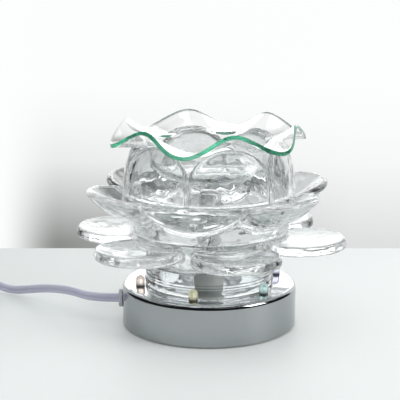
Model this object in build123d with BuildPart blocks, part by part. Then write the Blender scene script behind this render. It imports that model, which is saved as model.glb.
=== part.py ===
"""Electric wax warmer: a chrome base with six small lamps, a stacked glass lotus and a ruffled dish.

All sizes are in millimetres. +Z is up, the origin is the centre of the base on the table,
and the mains lead leaves the base along -X.
"""
import os
from math import asin, atan2, cos, degrees, hypot, radians, sin, sqrt, tan

from build123d import *

os.makedirs("parts", exist_ok=True)

# Chrome base: a spun drum, open below, standing on pads
base_radius = 50.0
base_top = 24.5
base_wall = 1.0
base_round = 2.2
base_skirt = 1.0          # gap under the drum's lower edge
cover_thickness = 2.0
cover_clearance = 0.2
pad_count = 4
pad_radius = 5.0
pad_height = 1.5
pad_inset = 10.0          # from the drum's side to the middle of a pad
pad_angle = 45.0

# Posts and screws that hold the bottom cover
post_count = 3
post_radius = 3.2
post_gap = 2.3            # between a post and the ring board
screw_shank = 1.5
screw_clearance = 0.1
csk_head = 2.9            # radius of a countersunk head
csk_recess = 0.1          # how far the head lies below the cover's face
cover_screw_grip = 9.0    # length of shank inside a post
pan_head = 2.8
pan_height = 1.9
slot_width = 0.8
slot_depth = 0.7

# Small lamps round the foot of the glass
led_names = ("led_blue", "led_orange", "led_violet", "led_red", "led_yellow", "led_green")
led_gap = 1.3             # between a lamp and the glass
led_angle = 17.5
led_radius = 2.5
led_flange_radius = 2.9
led_flange = 1.0
led_rise = 6.6            # height above the top face
led_clearance = 0.1
lead_side = 0.5
lead_pitch = 2.54
lead_below = 1.7          # how far the leads show under the board
lead_clearance = 0.15
board_reach = 5.5         # from the lamps' circle in to the board's bore
board_gap = 2.7           # between the board and the drum's wall
board_thickness = 1.6
board_drop = 4.9          # gap from the top plate to the board
spacer_radius = 2.4
spacer_count = 3
capacitor_size = (11.0, 5.5, 9.0)
capacitor_angle = 90.0
rectifier_size = (7.0, 5.0, 3.0)
rectifier_angle = 107.0

# Lamp holder and halogen capsule
holder_length = 32.0
holder_width = 17.0
holder_height = 12.0
holder_screw_span = 23.0
holder_bore_depth = 3.0
holder_pocket = 5.5       # radius of the wiring pocket under the holder
holder_pocket_depth = 2.5
wire_hole = 6.0
nut_across = 5.5
nut_height = 2.4
screw_tail = 1.6          # screw showing below its nut
pinch_width = 12.5
pinch_thickness = 3.6
pinch_height = 12.0
pinch_clearance = 0.4
pinch_depth = 5.0
pin_radius = 0.75
pin_pitch = 9.0
pin_length = 3.6
bulb_radius = 6.75
bulb_wall = 0.8
bulb_length = 48.5
filament_height = 18.0
filament_span = 5.0
filament_radius = 0.7
filament_leg = 0.3

# Wiring inside the base
block_size = (12.0, 18.0)
block_top = 18.0
block_gap = 0.34          # between the block's corners and the board's bore
lamp_wire = 1.1
lamp_wire_gap = 3.0
lamp_wire_level = 11.5
lamp_wire_end = -2.0
board_wire = 0.6
board_wire_level = 13.0
board_wire_inset = 1.4    # from the board's bore to a wire
wire_bend = 4.0

# Glass lotus: a neck and three tiers of six petals, glued one on another; heights are above a tier's foot
petal_count = 6
neck_ledge = 13.5         # flat ring of the drum's top outside the glass
neck_wall = 5.0
neck_height = 13.5
neck_bead = 2.2           # half the height of the rounded foot
neck_bulge = 0.7
petal_gap = 2.0           # angle left open between the flanks of two petals
lower = dict(tip=(75.8, 13.3), root=(33.0, 12.0), cup_radius=100.0, thickness=6.0)
lower_angle = 45.0
lower_wall = 5.0
lower_height = 18.5
lower_waist = (43.0, 6.0)
waist_radius = 45.5       # outer radius where the middle tier joins
middle = dict(tip=(68.5, 23.5), root=(17.8, 14.1), cup_radius=38.0, thickness=4.2)
middle_angle = 19.0
middle_wall = 4.5
middle_height = 21.5
middle_waist = (47.5, 9.5)
collar_radius = 48.5      # outer radius where the upper cup joins
upper = dict(tip=(39.65, 27.25), root=(40.75, -18.8), cup_radius=45.0, thickness=5.0)
upper_angle = 45.0
upper_wall = 1.7
upper_web = (47.6, 47.4, 46.8)   # outer radius of the web between petals, from its foot up
upper_web_height = 12.5

# Ruffled dish of sheet glass: its middle surface, outward from and above the tips of the upper petals
dish_thickness = 3.0
dish_floor = (-15.65, -17.95)      # edge of the flat floor
dish_shoulder = (-7.25, -12.25)
dish_neck = (-5.65, -2.45)         # where the lip begins
dish_neck_lean = 0.12
lip_bend = (-3.35, 1.1, -0.4, 1.4)        # outward, up, and how far a crest moves each
lip_flare = (6.35, 4.2, -1.75, 3.45)
lip_rim = (13.25, 5.95, -3.4, 5.1)
dish_sections = 8         # sections of the lip in one wave
dish_step = 0.1           # the lip's foot is set in from the bowl's faces

# Mains lead: flat twin flex
flex_width = 5.2
flex_thickness = 2.7
flex_exit = 14.0
grommet_flange = 5.2
grommet_neck = 4.1
grommet_outer = 2.2
grommet_inner = 1.3
grommet_round = 0.8
grommet_clearance = 0.15
flex_slack = 0.15         # gap round the flex in the grommet
flex_stubs = (16.0, 9.8, 13.0, 12.9, 10.0, 10.0)   # straight runs where the flex meets a piece
lead_bends = [(-81.0, 12.7, 14.5), (-97.0, 30.0, 10.8), (-110.5, 43.0, 6.0), (-123.0, 51.5, 2.75)]
link_bend = (-239.2, 41.1, 5.2)

# In-line dimmer
dimmer_centre = (-175.0, 54.0)
dimmer_length = 58.0
dimmer_width = 24.0
dimmer_split = 9.0
dimmer_top = 17.5
dimmer_wall = 1.8
dimmer_round = 5.0
dimmer_edge = 1.5
dimmer_cord = 7.5         # height of the flex at the dimmer
wheel_radius = 9.0
wheel_width = 4.0
wheel_offset = 8.0
wheel_axle = 11.5
wheel_knurls = 24
wheel_knurl = 0.45
wheel_clearance = 0.5
pivot_radius = 1.5
pivot_fit = 0.05
cheek_gap = 0.5
cheek_thickness = 1.6
cheek_width = 7.0
cheek_top = 14.5
dimmer_screw_place = (22.0, 7.0)
dimmer_boss = 3.0
dimmer_screw_grip = 4.0
wheel_mark = 0.9          # radius of the notch that marks the wheel
chip_board = (16.0, 14.0)
chip_board_offset = -9.0
chip_board_thickness = 1.6
triac_size = (10.0, 4.5, 9.0)

# Coil, tie and plug
coil_centre = (-217.5, 6.0)
coil_radius = 34.5
coil_pitch = 3.4
coil_layer = 5.7
coil_halves = 7           # half turns in each layer
tie_thickness = 0.5
tie_width = 5.0
tie_clearance = 0.4
tie_round = 2.0
plug_rear = (-184.0, -34.0)
plug_length = 30.0
plug_width = 24.0
plug_height = 13.0
plug_neck = (9.0, 8.0)
plug_waist = 14.0         # length of the tapered tail
plug_round = 2.5
grip_count = 3
grip_pitch = 4.0
grip_width = 1.2
grip_depth = 0.6
blade_length = 16.0
blade_pitch = 12.7
blade_widths = (6.35, 7.9)
blade_thickness = 1.5
blade_hole = 1.5
blade_hole_back = 4.5

# Places and heights that follow from the sizes above
pad_circle = base_radius - pad_inset
neck_radius = base_radius - neck_ledge
led_circle = neck_radius + neck_bulge + led_gap + led_radius
board_inner = led_circle - board_reach
board_outer = base_radius - base_wall - board_gap
post_circle = board_inner - post_gap - post_radius
block_centre = block_gap + block_size[0] / 2 - sqrt(board_inner ** 2 - (block_size[1] / 2) ** 2)
cover_under = pad_height
cover_top = cover_under + cover_thickness
plate_under = base_top - base_wall
board_top = plate_under - board_drop
board_under = board_top - board_thickness
holder_top = base_top + holder_height
pinch_foot = holder_top - pinch_depth
pinch_top = pinch_foot + pinch_height
bulb_top = pinch_foot + bulb_length
neck_top = base_top + neck_height
lower_seat = neck_top + lower_height
middle_seat = lower_seat + middle_height
tip_radius, tip_height = upper["tip"][0], middle_seat + upper["tip"][1]
coil_low = tie_thickness + flex_thickness / 10 + flex_width / 2
coil_high = coil_low + coil_layer


def save(part, name):
    """Label a finished piece and write it as one STEP file."""
    part.label = name
    export_step(part, f"parts/{name}.step")


def upright(angle):
    """Vertical plane through the Z axis: local x runs outward at an angle, local y is up."""
    a = radians(angle)
    return Plane(origin=(0, 0, 0), x_dir=(cos(a), sin(a), 0), z_dir=(sin(a), -cos(a), 0))


def screw_profile(head, head_height, start, end, countersunk):
    """Half outline of a screw on the Z axis, its head at start and its point at end."""
    way = 1 if end > start else -1
    inner = start + way * ((head - screw_shank) if countersunk else head_height)
    points = [(0, start), (head, start)]
    if not countersunk:
        points.append((head, inner))
    points += [(screw_shank, inner), (screw_shank, end), (0, end)]
    return points


def make_screw(head, head_height, start, end, countersunk):
    """One slotted screw on the Z axis."""
    way = 1 if end > start else -1
    with BuildPart() as screw:
        with BuildSketch(Plane.XZ):
            with BuildLine():
                Polyline(*screw_profile(head, head_height, start, end, countersunk), close=True)
            make_face()
        revolve(axis=Axis.Z)
        with BuildSketch(Plane.XY.offset(start)):
            Rectangle(4 * head, slot_width)
        extrude(amount=way * slot_depth, mode=Mode.SUBTRACT)
    return screw.part


def make_flex(path, start, heading):
    """Flat twin flex along a path, its broad side upright where it starts."""
    plane = Plane(origin=start, x_dir=(0, 0, 1), z_dir=heading)
    with BuildPart() as flex:
        with BuildSketch(plane):
            SlotOverall(flex_width, flex_thickness)
        sweep(path=path)
    return flex.part


def soft_radii(points):
    """Bend radius for each inner point of a route, from the shorter run beside it."""
    radii = []
    for a, b, c in zip(points, points[1:], points[2:]):
        one, two = Vector(*b) - Vector(*a), Vector(*c) - Vector(*b)
        turn = radians(one.get_angle(two))
        radii.append(0.45 * min(one.length, two.length) / tan(turn / 2))
    return radii


# Chrome base
with BuildPart() as base_shell:
    with BuildSketch(Plane.XY.offset(base_skirt)):
        Circle(base_radius)
    extrude(amount=base_top - base_skirt)
    fillet(base_shell.faces().sort_by(Axis.Z)[-1].edges(), radius=base_round)
    offset(amount=-base_wall, openings=base_shell.faces().sort_by(Axis.Z)[0])
    with BuildSketch(Plane.XY.offset(base_top)):
        Circle(wire_hole)
        with PolarLocations(led_circle, len(led_names), start_angle=led_angle):
            Circle(led_radius + led_clearance)
        with PolarLocations(holder_screw_span / 2, 2, start_angle=90):
            Circle(screw_shank + screw_clearance)
    extrude(amount=-2 * base_wall, mode=Mode.SUBTRACT)
    with BuildSketch(Plane(origin=(-base_radius, 0, flex_exit), z_dir=(1, 0, 0))):
        Circle(grommet_neck + grommet_clearance)
    extrude(amount=3 * base_wall, both=True, mode=Mode.SUBTRACT)
save(base_shell.part, "base_shell")

with BuildPart() as bottom_cover:
    with BuildSketch(Plane.XY.offset(cover_under)):
        Circle(base_radius - base_wall - cover_clearance)
    extrude(amount=cover_thickness)
    with Locations(Plane(origin=(0, 0, cover_under), x_dir=(1, 0, 0), z_dir=(0, 0, -1))):
        with PolarLocations(post_circle, post_count):
            CounterSinkHole(screw_shank + screw_clearance, csk_head + screw_clearance,
                            depth=cover_thickness, counter_sink_angle=90)
save(bottom_cover.part, "bottom_cover")

with BuildPart() as foot_pads:
    with BuildSketch(Plane.XY):
        with PolarLocations(pad_circle, pad_count, start_angle=pad_angle):
            Circle(pad_radius)
    extrude(amount=pad_height)
save(foot_pads.part, "foot_pads")

with BuildPart() as cover_posts:
    with BuildSketch(Plane.XY.offset(cover_top)):
        with PolarLocations(post_circle, post_count):
            Circle(post_radius)
    extrude(amount=plate_under - cover_top)
    with BuildSketch(Plane.XY.offset(cover_top)):
        with PolarLocations(post_circle, post_count):
            Circle(screw_shank + screw_clearance)
    extrude(amount=cover_screw_grip + 2 * screw_shank, mode=Mode.SUBTRACT)
save(cover_posts.part, "cover_posts")

cover_screw = make_screw(csk_head, 0, cover_under + csk_recess, cover_top + cover_screw_grip, True)
with BuildPart() as cover_screws:
    with PolarLocations(post_circle, post_count):
        add(cover_screw)
save(cover_screws.part, "cover_screws")

# Grommet and the flex that runs through it
grommet_face = base_radius + grommet_clearance / 2 + grommet_outer
inner_wall = sqrt((base_radius - base_wall) ** 2 - grommet_flange ** 2) - grommet_clearance / 2
block_face = block_centre - block_size[0] / 2
with BuildPart() as cord_grommet:
    for face, depth, radius in (
        (-grommet_face, grommet_outer, grommet_flange),
        (-grommet_face, grommet_face - inner_wall + grommet_inner, grommet_neck),
        (-inner_wall, grommet_inner, grommet_flange),
    ):
        with BuildSketch(Plane(origin=(face, 0, flex_exit), x_dir=(0, 1, 0), z_dir=(1, 0, 0))):
            Circle(radius)
        extrude(amount=depth)
    fillet(cord_grommet.faces().sort_by(Axis.X)[0].edges(), radius=grommet_round)
    with BuildSketch(Plane(origin=(-grommet_face, 0, flex_exit), x_dir=(0, 0, 1), z_dir=(1, 0, 0))):
        SlotOverall(flex_width + 2 * flex_slack, flex_thickness + 2 * flex_slack)
    extrude(amount=base_radius, mode=Mode.SUBTRACT)
save(cord_grommet.part, "cord_grommet")

with BuildPart() as cord_inside:
    with BuildSketch(Plane(origin=(-grommet_face, 0, flex_exit), x_dir=(0, 0, 1), z_dir=(1, 0, 0))):
        SlotOverall(flex_width, flex_thickness)
    extrude(amount=grommet_face + block_face)
save(cord_inside.part, "cord_inside")

with BuildPart() as terminal_block:
    with BuildSketch(Plane.XY.offset(cover_top)):
        with Locations((block_centre, 0)):
            Rectangle(*block_size)
    extrude(amount=block_top - cover_top)
save(terminal_block.part, "terminal_block")

pocket_top = base_top + holder_pocket_depth
with BuildPart() as lamp_wires:
    for side in (1, -1):
        y = side * lamp_wire_gap
        start = (block_centre + block_size[0] / 2, y, lamp_wire_level)
        with BuildLine(mode=Mode.PRIVATE) as route:
            FilletPolyline(start, (lamp_wire_end, y, lamp_wire_level), (lamp_wire_end, y, pocket_top),
                           radius=wire_bend)
        with BuildSketch(Plane(origin=start, z_dir=(1, 0, 0))):
            Circle(lamp_wire)
        sweep(path=route.wire())
save(lamp_wires.part, "lamp_wires")

board_wire_y = sqrt((board_inner + board_wire_inset) ** 2 - block_centre ** 2)
with BuildPart() as board_wires:
    for side in (1, -1):
        start = (block_centre, side * block_size[1] / 2, board_wire_level)
        with BuildLine(mode=Mode.PRIVATE) as route:
            FilletPolyline(start, (block_centre, side * board_wire_y, board_wire_level),
                           (block_centre, side * board_wire_y, board_under), radius=wire_bend / 2)
        with BuildSketch(Plane(origin=start, z_dir=(0, side, 0))):
            Circle(board_wire)
        sweep(path=route.wire())
save(board_wires.part, "board_wires")

# Ring board and the small lamps
with BuildPart() as led_board:
    with BuildSketch(Plane.XY.offset(board_under)):
        Circle(board_outer)
        Circle(board_inner, mode=Mode.SUBTRACT)
        with PolarLocations(led_circle, len(led_names), start_angle=led_angle):
            with GridLocations(0, lead_pitch, 1, 2):
                Circle(lead_side / sqrt(2) + lead_clearance, mode=Mode.SUBTRACT)
    extrude(amount=board_thickness)
save(led_board.part, "led_board")

with BuildPart() as board_spacers:
    with BuildSketch(Plane.XY.offset(board_top)):
        with PolarLocations(led_circle, spacer_count, start_angle=led_angle + 30):
            Circle(spacer_radius)
    extrude(amount=board_drop)
save(board_spacers.part, "board_spacers")

for name, size, angle in (("board_capacitor", capacitor_size, capacitor_angle),
                          ("board_rectifier", rectifier_size, rectifier_angle)):
    with BuildPart() as component:
        with BuildSketch(Plane.XY.offset(board_under)):
            with PolarLocations((board_inner + board_outer) / 2, 1, start_angle=angle):
                Rectangle(size[1], size[0])
        extrude(amount=-size[2])
    save(component.part, name)

led_foot = plate_under - led_flange
with BuildPart() as led_leads:
    with BuildSketch(Plane.XY.offset(led_foot)):
        with PolarLocations(led_circle, len(led_names), start_angle=led_angle):
            with GridLocations(0, lead_pitch, 1, 2):
                Rectangle(lead_side, lead_side)
    extrude(amount=board_under - lead_below - led_foot)
save(led_leads.part, "led_leads")

dome_centre = base_top + led_rise - led_radius
with BuildPart() as led_lens:
    with BuildSketch(Plane.XZ):
        with BuildLine():
            Polyline((0, base_top + led_rise), (0, led_foot), (led_flange_radius, led_foot),
                     (led_flange_radius, plate_under), (led_radius, plate_under), (led_radius, dome_centre))
            CenterArc((0, dome_centre), led_radius, 0, 90)
        make_face()
    revolve(axis=Axis.Z)
for name, place in zip(led_names, PolarLocations(led_circle, len(led_names), start_angle=led_angle)):
    save(place * led_lens.part, name)

# Lamp holder, its screws and nuts
with BuildPart() as lamp_holder:
    with BuildSketch(Plane.XY.offset(base_top)):
        SlotOverall(holder_length, holder_width, rotation=90)
    extrude(amount=holder_height)
    with BuildSketch(Plane.XY.offset(base_top)):
        Circle(holder_pocket)
    extrude(amount=holder_pocket_depth, mode=Mode.SUBTRACT)
    with BuildSketch(Plane.XY.offset(holder_top)):
        Rectangle(pinch_thickness + 2 * pinch_clearance, pinch_width + 2 * pinch_clearance)
    extrude(amount=-pinch_depth, mode=Mode.SUBTRACT)
    with BuildSketch(Plane.XY.offset(pinch_foot)):
        with GridLocations(0, pin_pitch, 1, 2):
            Circle(pin_radius + pinch_clearance / 2)
    extrude(amount=-pin_length - pinch_clearance, mode=Mode.SUBTRACT)
    with Locations(Plane.XY.offset(holder_top)):
        with PolarLocations(holder_screw_span / 2, 2, start_angle=90):
            CounterBoreHole(screw_shank + screw_clearance, pan_head + screw_clearance,
                            holder_bore_depth, depth=holder_height)
save(lamp_holder.part, "lamp_holder")

bore_floor = holder_top - holder_bore_depth
nut_foot = plate_under - nut_height
holder_screw = make_screw(pan_head, pan_height, bore_floor + pan_height, nut_foot - screw_tail, False)
with BuildPart() as holder_screws:
    with PolarLocations(holder_screw_span / 2, 2, start_angle=90):
        add(holder_screw)
save(holder_screws.part, "holder_screws")

with BuildPart() as holder_nuts:
    with BuildSketch(Plane.XY.offset(nut_foot)):
        with PolarLocations(holder_screw_span / 2, 2, start_angle=90):
            RegularPolygon(nut_across / 2, 6, major_radius=False)
            Circle(screw_shank + screw_clearance / 2, mode=Mode.SUBTRACT)
    extrude(amount=nut_height)
save(holder_nuts.part, "holder_nuts")

# Halogen capsule: a pinched foot and a hollow envelope
cavity_floor = pinch_top + 2 * bulb_wall
with BuildPart() as bulb_glass:
    with BuildSketch(Plane.XY.offset(pinch_foot)):
        Rectangle(pinch_thickness, pinch_width)
    extrude(amount=pinch_height)
    with BuildSketch(Plane.XZ):
        with BuildLine():
            Polyline((0, bulb_top), (0, pinch_top), (bulb_radius, pinch_top),
                     (bulb_radius, bulb_top - bulb_radius))
            CenterArc((0, bulb_top - bulb_radius), bulb_radius, 0, 90)
        make_face()
    revolve(axis=Axis.Z)
    with BuildSketch(Plane.XZ):
        with BuildLine():
            Polyline((0, bulb_top - bulb_wall), (0, cavity_floor), (bulb_radius - bulb_wall, cavity_floor),
                     (bulb_radius - bulb_wall, bulb_top - bulb_radius))
            CenterArc((0, bulb_top - bulb_radius), bulb_radius - bulb_wall, 0, 90)
        make_face()
    revolve(axis=Axis.Z, mode=Mode.SUBTRACT)
save(bulb_glass.part, "bulb_glass")

with BuildPart() as bulb_pins:
    with BuildSketch(Plane.XY.offset(pinch_foot)):
        with GridLocations(0, pin_pitch, 1, 2):
            Circle(pin_radius)
    extrude(amount=-pin_length)
    fillet(bulb_pins.faces().filter_by(Axis.Z).group_by(Axis.Z)[0].edges(), radius=pin_radius / 2)
save(bulb_pins.part, "bulb_pins")

with BuildPart() as bulb_filament:
    with BuildSketch(Plane.XY.offset(cavity_floor)):
        with GridLocations(0, filament_span, 1, 2):
            Circle(filament_leg)
    extrude(amount=filament_height)
    with BuildSketch(Plane.XZ.offset(-filament_span / 2 - filament_radius)):
        with Locations((0, cavity_floor + filament_height)):
            Circle(filament_radius)
    extrude(amount=filament_span + 2 * filament_radius)
save(bulb_filament.part, "bulb_filament")

# Glass lotus
with BuildPart() as glass_neck:
    with BuildSketch(Plane.XZ):
        with BuildLine():
            Polyline((neck_radius - neck_wall, base_top), (neck_radius - neck_wall, neck_top),
                     (neck_radius, neck_top), (neck_radius, base_top + 2 * neck_bead))
            ThreePointArc((neck_radius, base_top + 2 * neck_bead),
                          (neck_radius + neck_bulge, base_top + neck_bead), (neck_radius, base_top))
            Line((neck_radius, base_top), (neck_radius - neck_wall, base_top))
        make_face()
    revolve(axis=Axis.Z)
save(glass_neck.part, "glass_neck")


def make_petal(seat, tip, root, cup_radius, thickness):
    """One spoon-shaped petal over +X: a cap of a hollow ball with a rounded rim, cut level at its seat.

    The cap's middle surface runs from root to tip, both given as radius and height above the seat.
    """
    run, rise = tip[0] - root[0], tip[1] - root[1]
    spread = degrees(asin(hypot(run, rise) / 2 / cup_radius))
    tilt = degrees(atan2(rise, run)) - 90
    rim = radians(tilt + spread)
    centre = (tip[0] - cup_radius * cos(rim), 0, seat + tip[1] - cup_radius * sin(rim))
    along = (cos(radians(tilt)), 0, sin(radians(tilt)))
    half = thickness / 2
    half_sector = radians(180 / petal_count - petal_gap / 2)
    with BuildPart() as petal:
        with BuildSketch(Plane(origin=centre, x_dir=along, z_dir=(0, -1, 0))):
            with BuildLine():
                back = CenterArc((0, 0), cup_radius + half, 0, spread)
                front = CenterArc((0, 0), cup_radius - half, 0, spread)
                Line(front @ 0, back @ 0)
                edge = (back @ 1 + front @ 1) / 2 + Vector(0, half).rotate(Axis.Z, spread)
                ThreePointArc(back @ 1, edge, front @ 1)
            make_face()
        revolve(axis=Axis(centre, along))
        split(bisect_by=Plane.XY.offset(seat), keep=Keep.TOP)
        for side in (1, -1):
            flank = (-sin(half_sector), side * cos(half_sector), 0)
            split(bisect_by=Plane(origin=(0, 0, 0), z_dir=flank), keep=Keep.BOTTOM)
    return petal.part


def make_tier(foot, wall_line, wall, bore, angle, petal):
    """Petals round a ring whose outer wall follows a line above its foot, open through the middle."""
    with BuildPart() as tier:
        with BuildSketch(Plane(origin=(0, 0, foot), x_dir=(1, 0, 0), z_dir=(0, -1, 0))):
            with BuildLine():
                outside = Spline(*wall_line)
                inside = Spline(*[(r - wall, z) for r, z in wall_line])
                Line(outside @ 0, inside @ 0)
                Line(outside @ 1, inside @ 1)
            make_face()
        revolve(axis=Axis.Z)
        with PolarLocations(0, petal_count, start_angle=angle):
            add(petal)
        with BuildSketch(Plane.XY.offset(foot)):
            Circle(bore)
        extrude(amount=base_radius, mode=Mode.SUBTRACT)
    return tier.part


save(make_tier(neck_top, ((neck_radius, 0), lower_waist, (waist_radius, lower_height)), lower_wall,
               neck_radius - neck_wall, lower_angle, make_petal(neck_top, **lower)), "lower_petals")
save(make_tier(lower_seat, ((waist_radius, 0), middle_waist, (collar_radius, middle_height)), middle_wall,
               waist_radius - middle_wall, middle_angle, make_petal(lower_seat, **middle)), "middle_petals")
web_levels = (0, upper_web_height / 2, upper_web_height)
save(make_tier(middle_seat, tuple(zip(upper_web, web_levels)), upper_wall, neck_radius - neck_wall,
               upper_angle, make_petal(middle_seat, **upper)), "upper_petals")


# Ruffled dish
def from_tips(outward, up):
    """Radius and height of a place that is given from the tips of the upper petals."""
    return tip_radius + outward, tip_height + up


def lip_line(wave):
    """Middle of the lip at one place on the wave: 1 on a crest, -1 in a trough."""
    line = [neck]
    for out, up, crest_out, crest_up in (lip_bend, lip_flare, lip_rim):
        line.append(from_tips(out + crest_out * wave, up + crest_up * wave))
    return line


def set_off(points, distance):
    """The same line moved sideways by a distance, up and inward."""
    moved = []
    for k, (r, z) in enumerate(points):
        a, b = points[max(k - 1, 0)], points[min(k + 1, len(points) - 1)]
        length = hypot(b[0] - a[0], b[1] - a[1])
        moved.append((r - (b[1] - a[1]) / length * distance, z + (b[0] - a[0]) / length * distance))
    return moved


half_glass = dish_thickness / 2
wall = [from_tips(*place) for place in (dish_floor, dish_shoulder, dish_neck)]
floor, neck = wall[0], wall[-1]
with BuildPart() as dish_lip:
    for k in range(dish_sections + 1):
        share = k / dish_sections
        line = lip_line(cos(radians(360 * share)))
        under, over = set_off(line, -half_glass), set_off(line, half_glass)
        under[0] = (neck[0] + half_glass - dish_step, neck[1])
        over[0] = (neck[0] - half_glass + dish_step, neck[1])
        with BuildSketch(upright(upper_angle + 360 / petal_count * share)):
            with BuildLine():
                lower_side = Spline(*under)
                upper_side = Spline(*over)
                Line(lower_side @ 0, upper_side @ 0)
                Line(lower_side @ 1, upper_side @ 1)
            make_face()
    loft()

with BuildPart() as wax_dish:
    with BuildSketch(Plane.XZ):
        with BuildLine():
            flat, rising = (1, 0), (dish_neck_lean, 1)
            shell, bowl = [
                Spline((floor[0], floor[1] - side), set_off(wall, -side)[1], (neck[0] + side, neck[1]),
                       tangents=(flat, rising))
                for side in (half_glass, -half_glass)
            ]
            Polyline(bowl @ 0, (0, floor[1] + half_glass), (0, floor[1] - half_glass), shell @ 0)
            Line(shell @ 1, bowl @ 1)
        make_face()
    revolve(axis=Axis.Z)
    with PolarLocations(0, petal_count):
        add(dish_lip.part)
save(wax_dish.part, "wax_dish")

# Mains lead from the grommet to the dimmer, and on to the coil
dimmer_x, dimmer_y = dimmer_centre
dimmer_near, dimmer_far = dimmer_x + dimmer_length / 2, dimmer_x - dimmer_length / 2
coil_x, coil_y = coil_centre
coil_start = (coil_x - coil_radius, coil_y, coil_low)
lead_route = [(-grommet_face, 0, flex_exit), (-grommet_face - flex_stubs[0], 0, flex_exit), *lead_bends,
              (dimmer_near + flex_stubs[1], dimmer_y, dimmer_cord), (dimmer_near, dimmer_y, dimmer_cord)]
link_route = [(dimmer_far, dimmer_y, dimmer_cord), (dimmer_far - flex_stubs[2], dimmer_y, dimmer_cord),
              link_bend, (coil_start[0], coil_start[1] + flex_stubs[3], coil_low), coil_start]
for name, route in (("cord_lead", lead_route), ("cord_link", link_route)):
    radii = soft_radii(route)
    with BuildLine() as way:
        FilletPolyline(*route, radius=radii)
    print(name, "bend radii", [round(r, 1) for r in radii], "length", round(way.wire().length, 1))
    save(make_flex(way.wire(), route[0], way.wire() % 0), name)

# Coil: spirals in on the table, climbs one layer, spirals out on top
with BuildLine() as coil_way:
    x, side, radius = coil_start[0], 1, coil_radius
    for k in range(coil_halves):
        ThreePointArc((x, coil_y, coil_low), (x + side * radius, coil_y - side * radius, coil_low),
                      (x + 2 * side * radius, coil_y, coil_low))
        x, side, radius = x + 2 * side * radius, -side, radius - coil_pitch / 2
    swing = hypot(radius, coil_layer / 2)
    middle_point = (x + side * radius, coil_y - side * swing, (coil_low + coil_high) / 2)
    first = TangentArc((x, coil_y, coil_low), middle_point, tangent=(0, -side, 0))
    TangentArc(middle_point, (x + 2 * side * radius, coil_y, coil_high), tangent=first % 1)
    x, side = x + 2 * side * radius, -side
    for k in range(coil_halves - 1):
        radius = radius + coil_pitch / 2
        ThreePointArc((x, coil_y, coil_high), (x + side * radius, coil_y - side * radius, coil_high),
                      (x + 2 * side * radius, coil_y, coil_high))
        x, side = x + 2 * side * radius, -side
    radius = radius + coil_pitch / 2
    coil_end = (x + side * radius, coil_y - side * radius, coil_high)
    TangentArc((x, coil_y, coil_high), coil_end, tangent=(0, -side, 0))
coil_wire = coil_way.wire()
save(make_flex(coil_wire, coil_start, (0, -1, 0)), "cord_coil")

samples = [coil_wire @ (k / 600) for k in range(601)]
apart = coil_radius
for j, one in enumerate(samples):
    for two in samples[j + 40:]:
        beside = hypot(one.X - two.X, one.Y - two.Y) - flex_thickness
        apart = min(apart, max(beside, abs(one.Z - two.Z) - flex_width))
print("cord_coil length", round(coil_wire.length, 1), "least self-gap", round(apart, 2))

plug_x, plug_y = plug_rear
tail_route = [coil_end, (coil_end[0] + flex_stubs[4], coil_end[1], coil_high),
              (plug_x - flex_stubs[5], plug_y, plug_height / 2), (plug_x, plug_y, plug_height / 2)]
radii = soft_radii(tail_route)
with BuildLine() as tail_way:
    FilletPolyline(*tail_route, radius=radii)
print("cord_tail bend radii", [round(r, 1) for r in radii], "length", round(tail_way.wire().length, 1))
save(make_flex(tail_way.wire(), coil_end, tail_way.wire() % 0), "cord_tail")

inmost_turn = coil_radius - coil_halves / 2 * coil_pitch
tie_in = inmost_turn - flex_thickness / 2 - tie_clearance
tie_out = coil_radius + flex_thickness / 2 + tie_clearance
tie_high = coil_high + flex_width / 2 + tie_clearance
with BuildPart() as cord_tie:
    with BuildSketch(Plane(origin=(coil_x + (tie_in + tie_out) / 2, coil_y, (tie_high + tie_thickness) / 2),
                           x_dir=(1, 0, 0), z_dir=(0, -1, 0))):
        RectangleRounded(tie_out - tie_in + 2 * tie_thickness, tie_high + tie_thickness, tie_round)
        offset(amount=-tie_thickness, mode=Mode.SUBTRACT)
    extrude(amount=tie_width / 2, both=True)
save(cord_tie.part, "cord_tie")

# In-line dimmer: two shells, a thumbwheel on a pin, a small board and two screws
wheel_x = dimmer_x + wheel_offset
cheek_pitch = wheel_width + 2 * cheek_gap + cheek_thickness
boss_x, boss_y = dimmer_screw_place
boss_places = [(dimmer_x + way * boss_x, dimmer_y + way * boss_y) for way in (1, -1)]
dimmer_hollow = (dimmer_length - 2 * dimmer_wall, dimmer_width - 2 * dimmer_wall, dimmer_round - dimmer_wall)
with BuildPart() as dimmer_base:
    with BuildSketch(Plane.XY):
        with Locations(dimmer_centre):
            RectangleRounded(dimmer_length, dimmer_width, dimmer_round)
    extrude(amount=dimmer_split)
    fillet(dimmer_base.faces().sort_by(Axis.Z)[0].edges(), radius=dimmer_edge)
    with BuildSketch(Plane.XY.offset(dimmer_wall)):
        with Locations(dimmer_centre):
            RectangleRounded(*dimmer_hollow)
    extrude(amount=dimmer_split, mode=Mode.SUBTRACT)
    with BuildSketch(Plane.XY.offset(dimmer_wall)):
        with Locations(*boss_places):
            Circle(dimmer_boss)
    extrude(amount=dimmer_split - dimmer_wall)
    with BuildSketch(Plane.XY.offset(dimmer_wall)):
        with Locations((wheel_x, dimmer_y)):
            with GridLocations(0, cheek_pitch, 1, 2):
                Rectangle(cheek_width, cheek_thickness)
    extrude(amount=cheek_top - dimmer_wall)
    with BuildSketch(Plane(origin=(wheel_x, dimmer_y, wheel_axle), z_dir=(0, 1, 0))):
        Circle(pivot_radius + pivot_fit)
    extrude(amount=cheek_pitch, both=True, mode=Mode.SUBTRACT)
    with Locations(*[Location((x, y, 0), (180, 0, 0)) for x, y in boss_places]):
        CounterSinkHole(screw_shank + screw_clearance, csk_head + screw_clearance,
                        depth=dimmer_split, counter_sink_angle=90)
save(dimmer_base.part, "dimmer_base")

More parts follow.
